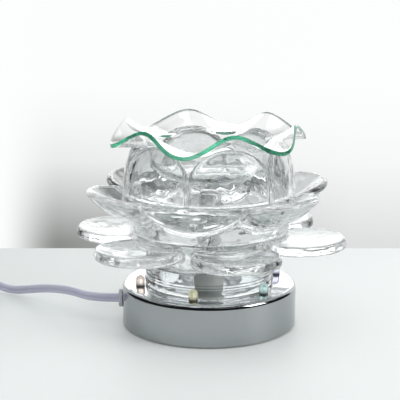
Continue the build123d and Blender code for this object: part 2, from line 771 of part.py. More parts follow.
slot_half = sqrt(wheel_radius ** 2 - (dimmer_top - dimmer_wall - wheel_axle) ** 2) + wheel_clearance
with BuildPart() as dimmer_cover:
    with BuildSketch(Plane.XY.offset(dimmer_split)):
        with Locations(dimmer_centre):
            RectangleRounded(dimmer_length, dimmer_width, dimmer_round)
    extrude(amount=dimmer_top - dimmer_split)
    fillet(dimmer_cover.faces().sort_by(Axis.Z)[-1].edges(), radius=dimmer_edge)
    with BuildSketch(Plane.XY.offset(dimmer_split)):
        with Locations(dimmer_centre):
            RectangleRounded(*dimmer_hollow)
    extrude(amount=dimmer_top - dimmer_split - dimmer_wall, mode=Mode.SUBTRACT)
    with BuildSketch(Plane.XY.offset(dimmer_split)):
        with Locations(*boss_places):
            Circle(dimmer_boss)
    extrude(amount=dimmer_top - dimmer_split - dimmer_wall)
    with BuildSketch(Plane.XY.offset(dimmer_split)):
        with Locations(*boss_places):
            Circle(screw_shank + screw_clearance)
    extrude(amount=dimmer_screw_grip + screw_shank / 2, mode=Mode.SUBTRACT)
    with BuildSketch(Plane.XY.offset(dimmer_top)):
        with Locations((wheel_x, dimmer_y)):
            Rectangle(2 * slot_half, wheel_width + 2 * wheel_clearance)
    extrude(amount=-2 * dimmer_wall, mode=Mode.SUBTRACT)
save(dimmer_cover.part, "dimmer_cover")

dimmer_screw = make_screw(csk_head, 0, csk_recess, dimmer_split + dimmer_screw_grip, True)
with BuildPart() as dimmer_screws:
    with Locations(*boss_places):
        add(dimmer_screw)
save(dimmer_screws.part, "dimmer_screws")

with BuildPart() as dimmer_pivot:
    with BuildSketch(Plane(origin=(wheel_x, dimmer_y, wheel_axle), z_dir=(0, 1, 0))):
        Circle(pivot_radius)
    extrude(amount=(cheek_pitch + cheek_thickness) / 2, both=True)
save(dimmer_pivot.part, "dimmer_pivot")

with BuildPart() as dimmer_wheel:
    with BuildSketch(Plane(origin=(wheel_x, dimmer_y, wheel_axle), x_dir=(0, 0, 1), z_dir=(0, 1, 0))):
        Circle(wheel_radius)
        with PolarLocations(wheel_radius, wheel_knurls):
            Circle(wheel_knurl, mode=Mode.SUBTRACT)
        with Locations((wheel_radius, 0)):
            Circle(wheel_mark, mode=Mode.SUBTRACT)
        Circle(pivot_radius + pivot_fit, mode=Mode.SUBTRACT)
    extrude(amount=wheel_width / 2, both=True)
save(dimmer_wheel.part, "dimmer_wheel")

with BuildPart() as dimmer_board:
    with BuildSketch(Plane.XY.offset(dimmer_wall)):
        with Locations((dimmer_x + chip_board_offset, dimmer_y)):
            Rectangle(*chip_board)
    extrude(amount=chip_board_thickness)
save(dimmer_board.part, "dimmer_board")

with BuildPart() as dimmer_triac:
    with BuildSketch(Plane.XY.offset(dimmer_wall + chip_board_thickness)):
        with Locations((dimmer_x + chip_board_offset, dimmer_y)):
            Rectangle(triac_size[0], triac_size[1])
    extrude(amount=triac_size[2])
save(dimmer_triac.part, "dimmer_triac")

# Two-blade plug, lying flat
plug_level = plug_height / 2
with BuildPart() as plug_body:
    with BuildSketch(Plane(origin=(plug_x, plug_y, plug_level), x_dir=(0, 1, 0), z_dir=(1, 0, 0))):
        RectangleRounded(*plug_neck, plug_round)
    shoulder = (plug_x + plug_waist, plug_y, plug_level)
    with BuildSketch(Plane(origin=shoulder, x_dir=(0, 1, 0), z_dir=(1, 0, 0))):
        RectangleRounded(plug_width, plug_height, plug_round)
    loft()
    extrude(plug_body.faces().sort_by(Axis.X)[-1], amount=plug_length - plug_waist)
    for level, way in ((plug_height, -1), (0, 1)):
        with BuildSketch(Plane.XY.offset(level)):
            with Locations((plug_x + (plug_length + plug_waist) / 2, plug_y)):
                with GridLocations(grip_pitch, 0, grip_count, 1):
                    Rectangle(grip_width, plug_width / 2)
        extrude(amount=way * grip_depth, mode=Mode.SUBTRACT)
save(plug_body.part, "plug_body")

plug_front = plug_x + plug_length
with BuildPart() as plug_blades:
    for side, width in zip((1, -1), blade_widths):
        y = plug_y + side * blade_pitch / 2
        with BuildSketch(Plane(origin=(plug_front, y, plug_level), x_dir=(0, 1, 0), z_dir=(1, 0, 0))):
            Rectangle(blade_thickness, width)
        extrude(amount=blade_length)
    chamfer(plug_blades.faces().group_by(Axis.X)[-1].edges(), length=blade_thickness / 4)
    eye = (plug_front + blade_length - blade_hole_back, plug_y, plug_level)
    with BuildSketch(Plane(origin=eye, z_dir=(0, 1, 0))):
        Circle(blade_hole)
    extrude(amount=plug_width, both=True, mode=Mode.SUBTRACT)
save(plug_blades.part, "plug_blades")
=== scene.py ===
# %% [markdown]
# # A lotus wax warmer in glass and chrome
# A chrome drum carries six small lamps and a flower of clear pressed glass. A halogen capsule inside the
# glass warms a loose dish with a ruffled lip. The solids of the object are already packed in one frame, at
# their real size. This lesson loads that frame and dresses it: it models the pieces that the eye sees as
# smooth Blender meshes, gives every piece the material that it is made of, and lights it like a small
# product on a pale table.

# %% Load the frame
from math import asin, atan2, cos, hypot, pi, radians, sin

import bpy
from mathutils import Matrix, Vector


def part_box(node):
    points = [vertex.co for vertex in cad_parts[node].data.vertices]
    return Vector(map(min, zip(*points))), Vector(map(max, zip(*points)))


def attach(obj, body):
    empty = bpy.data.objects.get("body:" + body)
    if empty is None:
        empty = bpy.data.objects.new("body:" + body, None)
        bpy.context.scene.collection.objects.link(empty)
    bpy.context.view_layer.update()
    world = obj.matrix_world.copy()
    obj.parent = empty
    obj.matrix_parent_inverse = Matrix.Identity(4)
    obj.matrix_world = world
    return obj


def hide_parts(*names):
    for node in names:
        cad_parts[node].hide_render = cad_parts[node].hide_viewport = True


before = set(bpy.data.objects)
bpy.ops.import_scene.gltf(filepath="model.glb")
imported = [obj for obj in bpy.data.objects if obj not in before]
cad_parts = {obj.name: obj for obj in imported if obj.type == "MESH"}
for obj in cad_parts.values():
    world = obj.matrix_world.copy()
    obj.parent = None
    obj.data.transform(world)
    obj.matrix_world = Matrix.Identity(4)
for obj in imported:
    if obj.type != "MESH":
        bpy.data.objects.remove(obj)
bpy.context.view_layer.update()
MM = 0.001

# %% [markdown]
# ## Camera
# The picture looks a little down on the warmer from the front. A camera could be aimed with a constraint,
# but its place and pitch are given here as plain numbers, so that the view stays put when a piece changes.
# A long lens keeps the near and the far side of a rim almost alike. The shift moves the picture on the
# sensor without turning the camera.

# %% Camera
camera_place = (-3.62, -685.6, 227.0)
camera_pitch = 13.69
camera_lens = 111.1
camera_shift = (-0.00705, 0.05125)

bpy.ops.object.select_all(action="DESELECT")
camera_turn = (radians(90 - camera_pitch), 0, 0)
bpy.ops.object.camera_add(location=[v * MM for v in camera_place], rotation=camera_turn)
camera = bpy.context.object
camera.name = "camera"
camera.data.lens = camera_lens
camera.data.shift_x, camera.data.shift_y = camera_shift
bpy.context.scene.camera = camera
bpy.context.scene.view_settings.view_transform = "Standard"
print("camera", [round(v, 3) for v in camera.location])

# %% [markdown]
# ## Colours and nodes
# A colour is written as the sRGB hex value that a colour picker shows, and Blender's shaders work in linear
# light, so one function turns the first into the second. One more function adds a node, sets its
# properties, and fills each input with a value or with a link.


# %% Colours and nodes
def linear(colour):
    """Linear RGBA of an sRGB hex colour."""
    parts = [int(colour[k:k + 2], 16) / 255 for k in (1, 3, 5)]
    return [*(p / 12.92 if p <= 0.04045 else ((p + 0.055) / 1.055) ** 2.4 for p in parts), 1.0]


def add_node(tree, kind, inputs=None, **settings):
    """Add a node to a tree, with its settings, and fill its inputs with values or links."""
    node = tree.nodes.new(kind)
    for key, value in settings.items():
        setattr(node, key, value)
    for key, value in (inputs or {}).items():
        if isinstance(value, bpy.types.NodeSocket):
            tree.links.new(value, node.inputs[key])
        else:
            node.inputs[key].default_value = value
    return node


def new_material(name, **constants):
    """A material with its constants set on the shader's own sockets, and its tree and shader to add to."""
    material = bpy.data.materials.new(name)
    material.use_nodes = True
    shader = material.node_tree.nodes["Principled BSDF"]
    for key, value in constants.items():
        shader.inputs[key.replace("_", " ")].default_value = value
    print("material:", name)
    return material, material.node_tree, shader


# %% [markdown]
# Lamps reach a surface with shadow rays, and those stop at refracting glass, so everything inside a glass
# would stay in the dark. A Light Path node tells shadow rays apart, and for them alone the glass becomes a
# pale clear film.


# %% Light through glass
def pass_light(tree, shader, film):
    """Let shadow rays go through a glass material, tinted by a film colour."""
    rays = add_node(tree, "ShaderNodeLightPath")
    clear = add_node(tree, "ShaderNodeBsdfTransparent", {"Color": linear(film)})
    both = add_node(tree, "ShaderNodeMixShader", {
        "Fac": rays.outputs["Is Shadow Ray"], 1: shader.outputs["BSDF"], 2: clear.outputs["BSDF"]})
    tree.links.new(both.outputs["Shader"], tree.nodes["Material Output"].inputs["Surface"])


# %% [markdown]
# ## Mains flex
# The lead is flat twin flex: two round cores side by side with a groove between them, standing on its
# narrow edge. It could be built ring by ring, but a cord is one smooth line with a section swept along it,
# and a curve with a bevel does just that. The section is a small closed curve in the shape of a figure
# eight.

# %% Flex section
flex_width = 5.2
flex_thickness = 2.7
lobe_sweep = 300
lobe_steps = 14


def section_curve():
    """The outline of the flex across: two round lobes that meet in a groove."""
    radius = flex_thickness / 2
    offset = flex_width / 2 - radius
    outline = []
    for side in (1, -1):
        for k in range(lobe_steps + 1):
            angle = radians((180 - lobe_sweep) / 2 + lobe_sweep * k / lobe_steps)
            outline.append((side * radius * cos(angle), side * (offset + radius * sin(angle))))
    curve = bpy.data.curves.new("flex_section", "CURVE")
    spline = curve.splines.new("POLY")
    spline.points.add(len(outline) - 1)
    for point, (x, y) in zip(spline.points, outline):
        point.co = (x * MM, y * MM, 0, 1)
    spline.use_cyclic_u = True
    return bpy.data.objects.new("flex_section", curve)


section = section_curve()
print("points round the flex:", len(section.data.splines[0].points))

# %% [markdown]
# The line is a NURBS curve along listed points, the same points that the solid follows. The twist mode
# Z-Up keeps the broad side upright. The bare line is kept to measure by. Then the section becomes the bevel
# and the curve is made a mesh, so that its ends can be closed and its faces turned outwards.

# %% Flex line
merge_distance = 0.001 * MM


def make_active(piece):
    """Select one piece alone."""
    bpy.ops.object.select_all(action="DESELECT")
    piece.select_set(True)
    bpy.context.view_layer.objects.active = piece


def close_seams():
    """In edit mode, merge points that meet and turn the faces outwards, then go back to object mode."""
    bpy.ops.mesh.select_all(action="SELECT")
    bpy.ops.mesh.remove_doubles(threshold=merge_distance)
    bpy.ops.mesh.normals_make_consistent(inside=False)
    bpy.ops.object.mode_set(mode="OBJECT")


def flex_line(name, route, resolution):
    """A NURBS line along a route given in millimetres."""
    curve = bpy.data.curves.new(name, "CURVE")
    curve.dimensions = "3D"
    curve.twist_mode = "Z_UP"
    curve.resolution_u = resolution
    spline = curve.splines.new("NURBS")
    spline.points.add(len(route) - 1)
    for point, spot in zip(spline.points, route):
        point.co = (*(v * MM for v in spot), 1)
    spline.order_u = 3
    spline.use_endpoint_u = True
    line = bpy.data.objects.new(name, curve)
    bpy.context.collection.objects.link(line)
    return line


def swept_flex(name, route, resolution):
    """A flex mesh along a route, and the points of its middle line."""
    line = flex_line(name, route, resolution)
    bare = bpy.data.meshes.new_from_object(line)
    path = [v.co.copy() for v in bare.vertices]
    bpy.data.meshes.remove(bare)
    line.data.bevel_mode = "OBJECT"
    line.data.bevel_object = section
    line.data.use_fill_caps = True
    make_active(line)
    bpy.ops.object.convert(target="MESH")
    flex = bpy.context.object
    bpy.ops.object.mode_set(mode="EDIT")
    close_seams()
    bpy.ops.object.shade_smooth_by_angle(angle=radians(40))
    return flex, path


# %% [markdown]
# The first stretch goes from the grommet, over a low arch and down to the in-line dimmer. The second goes
# on from the dimmer and is put away as a coil in two layers: it spirals in on the table, climbs one layer
# in half a turn, and spirals out again on top, to the plug. A NURBS line of order three runs just inside
# its points, so the points of each turn stand out by the cosine of half a step.

# %% Lead and coil
lead_route = [(-52.275, 0, 14), (-68.275, 0, 14), (-81, 12.7, 14.5), (-97, 30, 10.8), (-110.5, 43, 6),
              (-123, 51.5, 2.75), (-136.2, 54, 7.5), (-146, 54, 7.5)]
link_route = [(-204, 54, 7.5), (-217, 54, 7.5), (-239.2, 41.1, 5.2), (-252, 18.9, 3.37)]
tail_route = [(-204.1, -28.5, 9.07), (-194, -34, 6.5), (-184, -34, 6.5)]
coil_start = (-252.0, 6.0)
coil_low, coil_high = 3.37, 9.07
coil_radius = 34.5
coil_step_in = 1.7
coil_halves = 7
half_steps = 12


def coil_route():
    """Points of the coil: half turns, each a step tighter, then each a step wider on the layer above."""
    levels = [0] * coil_halves + [None] + [1] * coil_halves
    radii = [coil_radius - coil_step_in * min(k, 2 * coil_halves - k) for k in range(len(levels))]
    points, x, side = [], coil_start[0], 1
    for k, (level, radius) in enumerate(zip(levels, radii)):
        last = k == len(levels) - 1
        for step in range(half_steps // 2 if last else half_steps):
            share = step / half_steps
            angle = pi * share + (pi if side > 0 else 0)
            climb = share if level is None else level
            reach = radius / cos(pi / half_steps / 2)
            points.append((x + side * radius + reach * cos(angle), coil_start[1] + reach * sin(angle),
                           coil_low + (coil_high - coil_low) * climb))
        x, side = x + 2 * side * radius, -side
    return points


lead, lead_path = swept_flex("flex_lead", lead_route, resolution=24)
coil, coil_path = swept_flex("flex_coil", link_route + coil_route() + tail_route, resolution=4)
bpy.data.objects.remove(section)
for flex, path in ((lead, lead_path), (coil, coil_path)):
    length = sum((b - a).length for a, b in zip(path, path[1:]))
    print(flex.name, "length in mm", round(length / MM, 1), "faces", len(flex.data.polygons))

# %% [markdown]
# ## Tools for turned pieces
# Most glass and metal pieces here are round. By hand, a round piece starts as one vertex that is extruded
# into half an outline and then spun round the axis. This function does the same with the same operators: a
# small plane is merged to a point, moved to the start of the outline and extruded along it, the chain is
# spun, and the seam and the poles are merged.


# %% Turning
def spun(name, outline, steps):
    """A shape turned round the Z axis from half an outline of (radius, height), in millimetres."""
    places = [Vector((r * MM, 0, z * MM)) for r, z in outline]
    bpy.ops.object.select_all(action="DESELECT")
    bpy.ops.mesh.primitive_plane_add(size=MM)
    piece = bpy.context.object
    piece.name = piece.data.name = name
    bpy.ops.object.mode_set(mode="EDIT")
    bpy.ops.mesh.merge(type="CENTER")
    bpy.ops.transform.translate(value=places[0])
    for a, b in zip(places, places[1:]):
        bpy.ops.mesh.extrude_region_move(TRANSFORM_OT_translate={"value": b - a})
    bpy.ops.mesh.select_all(action="SELECT")
    bpy.ops.mesh.spin(steps=steps, angle=2 * pi, center=(0, 0, 0), axis=(0, 0, 1))
    close_seams()
    return piece


def arc(centre, radius, start, end, steps):
    """Points on an arc, with angles in degrees."""
    angles = [radians(start + (end - start) * k / steps) for k in range(steps + 1)]
    return [(centre[0] + radius * cos(a), centre[1] + radius * sin(a)) for a in angles]


# %% [markdown]
# A turned piece is then placed, copied, joined or drilled. Each of these is a few clicks by hand, and each
# ends with the change applied, so that a piece always sits at the origin with its place in its mesh.


# %% Shaping
def apply_modifier(piece, kind, **settings):
    """Add a modifier with its settings and apply it."""
    make_active(piece)
    modifier = piece.modifiers.new(kind.lower(), kind)
    for key, value in settings.items():
        setattr(modifier, key, value)
    bpy.ops.object.modifier_apply(modifier=modifier.name)


def place(piece, location=(0, 0, 0), rotation=(0, 0, 0)):
    """Turn and move a piece, and put that into its mesh."""
    make_active(piece)
    piece.rotation_euler = rotation
    piece.location = [v * MM for v in location]
    bpy.ops.object.transform_apply(location=True, rotation=True, scale=True)


def copy_of(piece, name):
    """A copy with its own mesh."""
    make_active(piece)
    bpy.ops.object.duplicate(linked=False)
    copy = bpy.context.object
    copy.name = copy.data.name = name
    return copy


def join(piece, others):
    """Join other pieces into one."""
    make_active(piece)
    for other in others:
        other.select_set(True)
    bpy.ops.object.join()
    return piece


def drill(piece, cutters):
    """Cut the shape of other pieces out of one."""
    for cutter in cutters:
        apply_modifier(piece, "BOOLEAN", operation="DIFFERENCE", object=cutter, solver="EXACT")
        bpy.data.objects.remove(cutter)


# %% [markdown]
# A finished piece gets its material, rides on one of the frame's bodies, and stands for the solid of the
# same piece. Every piece needs these few calls, so one function makes them.


# %% Dressing
def dress(piece, material, node, body="warmer"):
    """Give a piece its material and let it stand for a node on its body."""
    piece.data.materials.clear()
    piece.data.materials.append(material)
    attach(piece, body)
    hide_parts(node)
    print(node, "faces", len(piece.data.polygons))


# %% [markdown]
# ## Glass lotus
# The neck and each tier were pressed in a mould, and a tier is six spoon-shaped petals round a ring. A
# petal could be sculpted, but a cap of a hollow ball has the right spoon shape from a few sizes. Its rim is
# between round and square, which is what the power of 0.55 makes of a half circle. The cap is turned round
# its own axis and tilted into place. Then it is cut level at the foot of its tier and trimmed at both
# flanks, and the bore of the tier is drilled out of it.

# %% Petals
petal_count = 6
petal_gap = 2.0
rim_power = 0.55
arc_steps = 18
turn_steps = 96


def make_petal(seat, tip, root, cup_radius, thickness):
    """A whole cap over +X whose middle surface runs from root to tip."""
    run, rise = tip[0] - root[0], tip[1] - root[1]
    spread = asin(hypot(run, rise) / 2 / cup_radius)
    tilt = atan2(rise, run) - pi / 2
    half = thickness / 2
    edge = 90 - spread * 180 / pi
    rim = (cup_radius * sin(spread), cup_radius * cos(spread))
    across = (cos(radians(edge)), sin(radians(edge)))
    outline = arc((0, 0), cup_radius + half, 90, edge, arc_steps)
    for u, v in arc((0, 0), 1, 0, 180, arc_steps)[1:-1]:
        up = half * abs(u) ** rim_power * (1 if u > 0 else -1)
        out = half * v ** rim_power
        outline.append((rim[0] + up * across[0] + out * across[1], rim[1] + up * across[1] - out * across[0]))
    outline += arc((0, 0), cup_radius - half, edge, 90, arc_steps)
    petal = spun("petal", outline, turn_steps)
    centre = (tip[0] - cup_radius * cos(tilt + spread), 0, seat + tip[1] - cup_radius * sin(tilt + spread))
    place(petal, centre, (0, pi / 2 - tilt, 0))
    return petal


def trim_petal(petal, seat, bore):
    """Cut a petal level at its seat, trim its flanks to a sixth of the circle, and drill the bore."""
    half_sector = radians(180 / petal_count - petal_gap / 2)
    cuts = [((0, 0, seat * MM), (0, 0, -1))]
    cuts += [((0, 0, 0), (-sin(half_sector), side * cos(half_sector), 0)) for side in (1, -1)]
    bpy.ops.object.mode_set(mode="EDIT")
    for point, normal in cuts:
        bpy.ops.mesh.select_all(action="SELECT")
        bpy.ops.mesh.bisect(plane_co=point, plane_no=normal, use_fill=True, clear_outer=True)
    bpy.ops.object.mode_set(mode="OBJECT")
    low, high = seat - bore, seat + bore
    drill(petal, [spun("bore", [(0, low), (bore, low), (bore, high), (0, high)], turn_steps)])


# %% [markdown]
# The ring of a tier is turned from a smooth line through three points of its wall. Six copies of the petal
# and the ring are joined. A boolean union would leave sharp creases where they meet, so they are melted
# into one skin with a voxel remesh, and a smooth pass rounds the creases as the mould would.

# %% Rings and tiers
glue_gap = 0.06
wall_steps = 6
ring_steps = 144


def smooth_line(points, steps):
    """Points on a smooth line through a few given ones."""
    padded = [[2 * a - b for a, b in zip(points[0], points[1])], *points,
              [2 * a - b for a, b in zip(points[-1], points[-2])]]
    line = []
    for p, q, r, s in zip(padded, padded[1:], padded[2:], padded[3:]):
        for k in range(steps):
            t = k / steps
            line.append([
                q0 + 0.5 * t * (r0 - p0 + t * (2 * p0 - 5 * q0 + 4 * r0 - s0 + t * (3 * (q0 - r0) + s0 - p0)))
                for p0, q0, r0, s0 in zip(p, q, r, s)
            ])
    return line + [list(points[-1])]


def make_tier(name, foot, wall_line, wall, bore, angle, petal_sizes, voxel):
    """A ring with six petals round it, melted into one piece of glass."""
    top = wall_line[-1][1]
    outside = smooth_line(wall_line, wall_steps)
    inside = [(max(r - wall, bore), z) for r, z in outside]
    outline = outside + inside[::-1] + outside[:1]
    scale = (top - 2 * glue_gap) / top
    ring = spun(name, [(r, foot + glue_gap + z * scale) for r, z in outline], ring_steps)
    petal = make_petal(foot + glue_gap, **petal_sizes)
    trim_petal(petal, foot + glue_gap, bore)
    petals = [copy_of(petal, "petal") for k in range(petal_count)]
    bpy.data.objects.remove(petal)
    for k, one in enumerate(petals):
        place(one, rotation=(0, 0, radians(angle + 360 / petal_count * k)))
    tier = join(ring, petals)
    apply_modifier(tier, "REMESH", mode="VOXEL", voxel_size=voxel * MM)
    apply_modifier(tier, "SMOOTH", factor=0.5, iterations=4)
    make_active(tier)
    bpy.ops.object.shade_smooth()
    return tier


# %% [markdown]
# The neck is the plain pressed foot of the flower. A stout bead runs round its foot, with two faint rings
# above it. The rings could be cut later, but half an outline can hold them all, so it is spun in one go.

# %% Neck
neck_foot, neck_top = 24.5, 38.0
neck_radius, neck_bore = 36.5, 31.5
neck_bevel = 0.5
bead_rise, bead_bulge, bead_steps = 2.2, 0.7, 8
ring_rise, ring_bulge, ring_rows, row_steps = 1.6, 0.15, 2, 6

bead = [(neck_radius + bead_bulge * sin(pi * k / bead_steps), neck_foot + 2 * bead_rise * k / bead_steps)
        for k in range(bead_steps + 1)]
bead_top = neck_foot + 2 * bead_rise
rings = [(neck_radius + ring_bulge * sin(pi * k / row_steps) ** 2, bead_top + ring_rise * k / row_steps)
         for k in range(1, row_steps * ring_rows + 1)]
neck_outline = [(neck_bore, neck_foot), *bead, *rings, (neck_radius, neck_top - glue_gap),
                (neck_bore, neck_top - glue_gap), (neck_bore, neck_foot)]
neck = spun("glass_foot", neck_outline, ring_steps)
apply_modifier(neck, "BEVEL", width=neck_bevel * MM, segments=3, limit_method="ANGLE",
               angle_limit=radians(50))
bpy.ops.object.shade_smooth_by_angle(angle=radians(50))
print("neck in mm:", neck_top - neck_foot, "high,", 2 * neck_radius, "across")

# %% [markdown]
# The three tiers differ in their sizes alone: flat petals below, deep spoons in the middle and upright
# petals on top. A petal's tip and root are given as radius and height over the foot of its tier. The voxel
# is small enough for a clean rim and keeps each tier under 200,000 triangles.

# %% Tiers
lower_seat, middle_seat = 56.5, 78.0
lower = make_tier(
    "glass_lower_tier", foot=neck_top, wall_line=((36.5, 0), (43.0, 6.0), (45.5, 18.5)), wall=5.0,
    bore=neck_bore, angle=45, voxel=0.69,
    petal_sizes=dict(tip=(75.8, 13.3), root=(33.0, 12.0), cup_radius=100.0, thickness=6.0))
middle = make_tier(
    "glass_middle_tier", foot=lower_seat, wall_line=((45.5, 0), (47.5, 9.5), (48.5, 21.5)), wall=4.5,
    bore=41.0, angle=19, voxel=0.69,
    petal_sizes=dict(tip=(68.5, 23.5), root=(17.8, 14.1), cup_radius=38.0, thickness=4.2))
upper = make_tier(
    "glass_upper_cup", foot=middle_seat, wall_line=((47.6, 0), (47.4, 6.25), (46.8, 12.5)), wall=1.7,
    bore=neck_bore, angle=45, voxel=0.6,
    petal_sizes=dict(tip=(39.65, 27.25), root=(40.75, -18.8), cup_radius=45.0, thickness=5.0))
for tier in (lower, middle, upper):
    print(tier.name, "reaches", round(max(v.co.z for v in tier.data.vertices) / MM, 1), "mm")

# %% [markdown]
# Pressed glass is clear soda-lime glass with an index near 1.5. The mould and the fire polish leave a skin
# that is glossy but never quite flat, which is why its highlights wobble. A broad, shallow noise bump gives
# that wobble; it is drawn at about 14 mm, with a finer one of 4 mm on top.

# %% Pressed glass
wobble_size, wobble_depth = 14, 0.8
ripple_size, ripple_depth = 4, 0.16
pressed_glass, tree, shader = new_material(
    "pressed soda-lime glass", Transmission_Weight=1.0, IOR=1.5, Roughness=0.0, Base_Color=linear("#EEF0F0"))
coords = add_node(tree, "ShaderNodeTexCoord").outputs["Object"]
wobble = add_node(tree, "ShaderNodeTexNoise", {
    "Vector": coords, "Scale": 1 / (wobble_size * MM), "Detail": 1.0})
ripple = add_node(tree, "ShaderNodeTexNoise", {
    "Vector": coords, "Scale": 1 / (ripple_size * MM), "Detail": 0.0})
broad = add_node(tree, "ShaderNodeBump", {
    "Height": wobble.outputs["Fac"], "Distance": wobble_depth * MM, "Strength": 1.0})
fine = add_node(tree, "ShaderNodeBump", {
    "Height": ripple.outputs["Fac"], "Distance": ripple_depth * MM, "Strength": 1.0,
    "Normal": broad.outputs["Normal"]})
tree.links.new(fine.outputs["Normal"], shader.inputs["Normal"])
pass_light(tree, shader, "#F0F2F1")

glass_pieces = {"glass_neck": neck, "lower_petals": lower, "middle_petals": middle, "upper_petals": upper}
for node, piece in glass_pieces.items():
    dress(piece, pressed_glass, node)

# %% [markdown]
# ## Ruffled dish
# The dish was cut from sheet glass and slumped over a mould, so it has one thickness everywhere. A cloth
# simulation could drape it, but the ruffle is regular and a cosine draws it. The middle surface is turned
# first: a flat floor, a round shoulder, a short neck and a lip. Then the points of the lip are lifted and
# drawn in by a cosine with six crests, one over each upper petal.

# %% Ruffled dish
tip_radius, tip_height = 39.65, 105.25
crest_angle = 45
floor_drop = -17.95
sheet_rows, sheet_steps = 5, 192
# Each point: how far out and up it is from the petal tips, and how much a crest of the ruffle adds to both.
sheet_points = [(-tip_radius, floor_drop, 0, 0), (-27.65, floor_drop, 0, 0), (-15.65, floor_drop, 0, 0),
                (-7.25, -12.25, 0, 0), (-5.65, -2.45, 0, 0), (-3.35, 1.1, -0.4, 1.4),
                (6.35, 4.2, -1.75, 3.45), (13.25, 5.95, -3.4, 5.1)]
sheet_line = smooth_line(sheet_points, sheet_rows)
dish = spun("ruffled_dish", [(tip_radius + row[0], tip_height + row[1]) for row in sheet_line], sheet_steps)


def nearest_row(radius, height):
    """The row of the sheet's line that a point of the turned dish comes from."""
    return min(sheet_line, key=lambda row: hypot(tip_radius + row[0] - radius, tip_height + row[1] - height))


for vertex in dish.data.vertices:
    radius = hypot(vertex.co.x, vertex.co.y) / MM
    more_out, more_up = nearest_row(radius, vertex.co.z / MM)[2:]
    wave = cos(petal_count * (atan2(vertex.co.y, vertex.co.x) - radians(crest_angle)))
    stretch = 1 + more_out * wave / radius if radius else 1
    vertex.co = (vertex.co.x * stretch, vertex.co.y * stretch, vertex.co.z + more_up * wave * MM)
lip_radius = max(hypot(vertex.co.x, vertex.co.y) for vertex in dish.data.vertices) / MM
print("dish across in mm:", round(2 * lip_radius, 1))

# %% [markdown]
# Float glass holds a trace of iron. Through a thin sheet it looks clear, but along the sheet the light has
# gone a long way and comes out green, so the cut edge is a bright green line. The body gets a volume that
# absorbs red first, and a shallow wave of about 25 mm from the slumping.

# %% Float glass
slump_size, slump_depth = 25, 0.15
float_glass, tree, shader = new_material(
    "float glass", Transmission_Weight=1.0, IOR=1.52, Roughness=0.0, Base_Color=linear("#FFFFFF"))
iron = add_node(tree, "ShaderNodeVolumeAbsorption", {"Color": linear("#B4E8D6"), "Density": 5.0})
tree.links.new(iron.outputs["Volume"], tree.nodes["Material Output"].inputs["Volume"])
coords = add_node(tree, "ShaderNodeTexCoord").outputs["Object"]
slump = add_node(tree, "ShaderNodeTexNoise", {
    "Vector": coords, "Scale": 1 / (slump_size * MM), "Detail": 1.0})
waver = add_node(tree, "ShaderNodeBump", {
    "Height": slump.outputs["Fac"], "Distance": slump_depth * MM, "Strength": 1.0})
tree.links.new(waver.outputs["Normal"], shader.inputs["Normal"])
pass_light(tree, shader, "#F6F9F8")

# %% [markdown]
# The edge of the sheet was ground, so it is a little cloudy, and it shows the green of the whole sheet. It
# gets a material of its own, with noise of 3 mm between a deep and a light green.

# %% Ground edge
grind_size = 3
glass_edge, tree, shader = new_material(
    "ground float glass edge", Transmission_Weight=0.75, IOR=1.52, Roughness=0.15)
coords = add_node(tree, "ShaderNodeTexCoord").outputs["Object"]
grind = add_node(tree, "ShaderNodeTexNoise", {
    "Vector": coords, "Scale": 1 / (grind_size * MM), "Detail": 2.0})
depth = add_node(tree, "ShaderNodeValToRGB", {"Fac": grind.outputs["Fac"]})
depth.color_ramp.elements[0].color = linear("#3DB488")
depth.color_ramp.elements[1].color = linear("#74DAB4")
tree.links.new(depth.outputs["Color"], shader.inputs["Base Color"])

# %% [markdown]
# Solidify gives the sheet its thickness, the same on both sides of the middle surface, and puts the edge
# material on the faces of its rim. A bevel breaks the two corners of the edge, as the grinder did.

# %% Sheet and edge
sheet_thickness = 2.2
edge_bevel = 0.6
dress(dish, float_glass, "wax_dish", "dish")
dish.data.materials.append(glass_edge)
apply_modifier(dish, "SOLIDIFY", thickness=sheet_thickness * MM, offset=0, use_even_offset=True,
               material_offset_rim=1)
apply_modifier(dish, "BEVEL", width=edge_bevel * MM, segments=3, limit_method="ANGLE",
               angle_limit=radians(50), material=0)
bpy.ops.object.shade_smooth_by_angle(angle=radians(50))
print("edge faces", sum(face.material_index for face in dish.data.polygons))

# %% [markdown]
# ## Chrome drum
# The drum was drawn from thin steel and chrome plated, with a small round at its top edge. A cylinder with
# a bevel and Solidify could give it. Half an outline that already holds the wall and both rounds is spun
# here instead, because the rounds then keep their exact radii.

# %% Chrome drum
base_low, base_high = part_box("base_shell")
base_radius, base_foot, base_top = base_high.x / MM, base_low.z / MM, base_high.z / MM
base_round, base_wall = 3.0, 1.0
drum_steps, outer_steps, inner_steps = 192, 8, 5
round_centre = (base_radius - base_round, base_top - base_round)
drum_outline = [(base_radius - base_wall, base_foot), (base_radius, base_foot)]
drum_outline += arc(round_centre, base_round, 0, 90, outer_steps)
drum_outline += [(0, base_top), (0, base_top - base_wall)]
drum_outline += arc(round_centre, base_round - base_wall, 90, 0, inner_steps)
drum_outline += drum_outline[:1]
drum = spun("chrome_drum", drum_outline, drum_steps)
print("drum in mm:", round(2 * base_radius, 1), "across,", round(base_top, 1), "to its top")

# %% [markdown]
# The real holes were punched. Cylinders cut them here: six for the small lamps, one for the wires and one,
# laid over, for the grommet. A boolean leaves crisp edges, which is how a punch leaves them too.

# %% Holes of the drum
led_count, led_circle, led_angle, led_radius = 6, 41.0, 17.5, 2.5
hole_slack = 0.1
wire_hole_radius, cord_hole_radius = 6.0, 4.25
top_cut, side_cut = 6, 8
cord_level = 14.0


